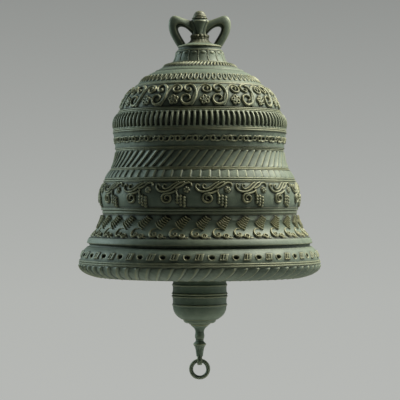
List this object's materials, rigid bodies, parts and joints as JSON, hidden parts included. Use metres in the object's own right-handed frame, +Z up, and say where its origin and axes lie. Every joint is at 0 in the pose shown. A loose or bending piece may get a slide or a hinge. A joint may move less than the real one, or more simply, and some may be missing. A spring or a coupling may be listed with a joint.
{
  "type": "hanging temple bell",
  "caption": "Hanging cast bell with a two-loop crown, bands of carved ornament, a free-swinging drum clapper on a shackle, and a pull ring below its turned tail.",
  "frame": {"origin": "on the bell's axis, level with the underside of the crown loops that it hangs by", "axes": "+Z up along the bell's axis, +X to the viewer's right in the picture, in the plane of the two crown loops, -Y towards the viewer"},
  "size_m": [0.3639, 0.364, 0.5538],
  "materials": {
    "patina_bronze": "cast bronze with a grey-green patina, worn on raised edges",
    "worn_bronze": "bronze with a thin, rubbed patina",
    "clapper_bronze": "turned bronze with a dark green-grey patina",
    "forged_iron": "forged iron, dark and oiled",
    "leather": "old leather"
  },
  "bodies": {
    "bell": {"bell_wall": "patina_bronze", "crown_casting": "patina_bronze", "finial_nut": "worn_bronze", "finial_washer": "worn_bronze", "crown_gasket": "leather", "eye_bolt": "forged_iron", "head_washer": "forged_iron", "lock_nut": "forged_iron", "neck_petal_band": "patina_bronze", "rope_band": "patina_bronze", "tongue_band": "patina_bronze", "dome_scroll_band": "patina_bronze", "flute_band": "patina_bronze", "chain_band": "patina_bronze", "slant_flute_band": "patina_bronze", "bar_band": "patina_bronze", "vine_band": "patina_bronze", "leaf_band": "patina_bronze", "lip_stud_band": "patina_bronze", "gadroon_band": "patina_bronze"},
    "shackle": {"shackle_bow": "forged_iron", "shackle_pin": "forged_iron", "cotter_pin": "forged_iron"},
    "clapper": {"clapper_rod": "forged_iron", "drum_upper": "clapper_bronze", "drum_lower": "clapper_bronze", "drum_disc": "clapper_bronze", "tail_spindle": "clapper_bronze"},
    "pull_ring": {"pull_ring": "worn_bronze"}
  },
  "joints": [
    {"name": "shackle_swing", "type": "hinge", "parent": "bell", "child": "shackle", "pos_m": [0, 0, -0.08], "axis": [1, 0, 0], "range_deg": [-12, 12]},
    {"name": "clapper_swing", "type": "hinge", "parent": "shackle", "child": "clapper", "pos_m": [0, 0, -0.108], "axis": [0, 1, 0], "range_deg": [-17, 17]},
    {"name": "ring_swing", "type": "hinge", "parent": "clapper", "child": "pull_ring", "pos_m": [0, 0, -0.5005], "axis": [1, 0, 0], "range_deg": [-135, 135]}
  ]
}
